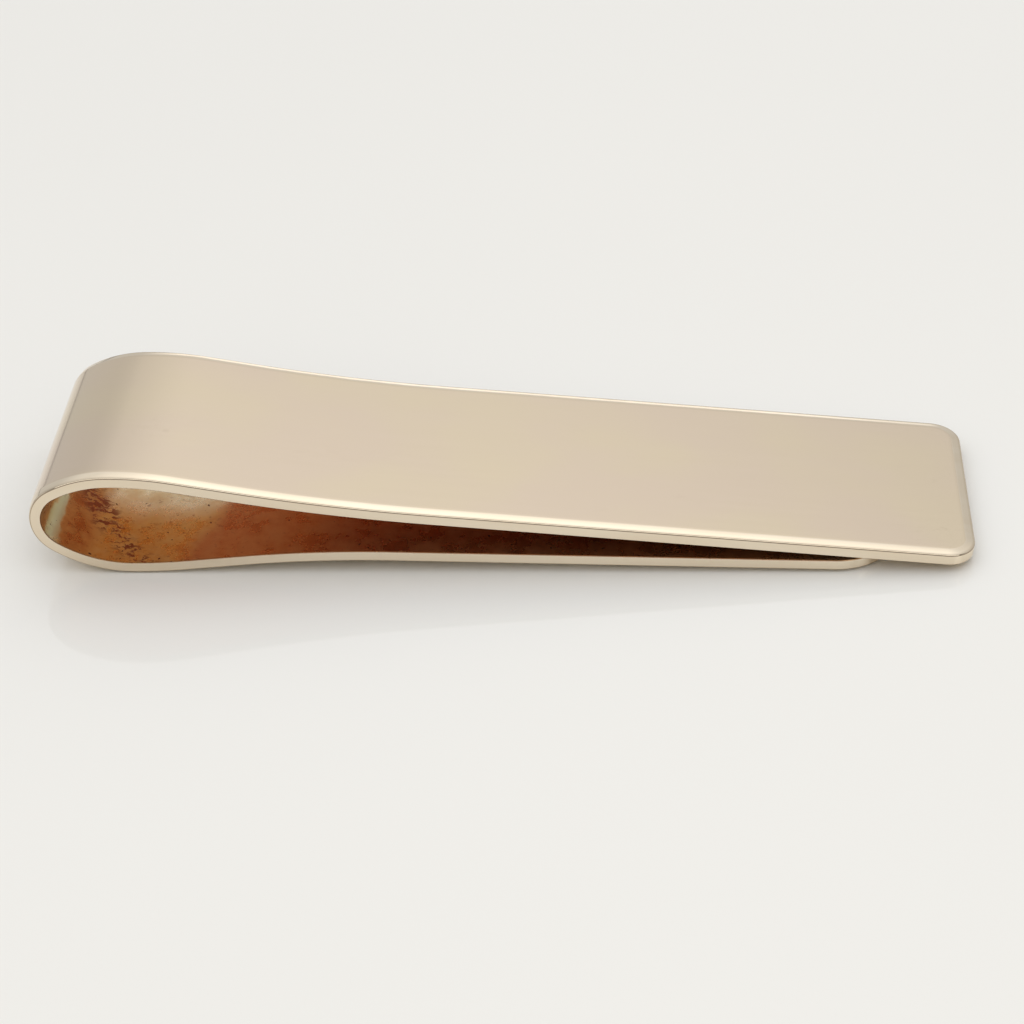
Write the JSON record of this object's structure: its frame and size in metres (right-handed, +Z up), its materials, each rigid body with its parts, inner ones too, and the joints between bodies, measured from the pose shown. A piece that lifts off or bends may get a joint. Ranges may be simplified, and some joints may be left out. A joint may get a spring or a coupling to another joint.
{
  "type": "money clip",
  "caption": "Folded spring strip with a round loop at one end and two long leaves that close on each other to grip folded banknotes.",
  "frame": {"origin": "middle of the underside of the clip's box, on the surface the clip lies on", "axes": "+X from the loop to the leaves' tips, +Z up through the back leaf and then the front leaf, Y across the strip"},
  "size_m": [0.0508, 0.0128, 0.0064],
  "materials": {
    "gold_alloy": "satin"
  },
  "bodies": {
    "back_leaf": {"back_leaf": "gold_alloy"},
    "loop_lower": {"loop_lower": "gold_alloy"},
    "loop_upper": {"loop_upper": "gold_alloy"},
    "front_leaf": {"front_leaf": "gold_alloy"}
  },
  "joints": [
    {"name": "back_neck_flex", "type": "hinge", "parent": "back_leaf", "child": "loop_lower", "pos_m": [-0.01557, 0, 0.00028], "axis": [0, -1, 0], "range_deg": [0, 4], "stiffness_Nm_per_rad": 2.6},
    {"name": "nose_flex", "type": "hinge", "parent": "loop_lower", "child": "loop_upper", "pos_m": [-0.0254, 0, 0.00342], "axis": [0, -1, 0], "range_deg": [0, 4], "stiffness_Nm_per_rad": 3.3},
    {"name": "front_neck_flex", "type": "hinge", "parent": "loop_upper", "child": "front_leaf", "pos_m": [-0.01586, 0, 0.00578], "axis": [0, -1, 0], "range_deg": [0, 4], "stiffness_Nm_per_rad": 2.6}
  ],
  "couplings": [
    {"joint": "nose_flex", "follows": "back_neck_flex", "ratio": 1},
    {"joint": "front_neck_flex", "follows": "back_neck_flex", "ratio": 1}
  ]
}
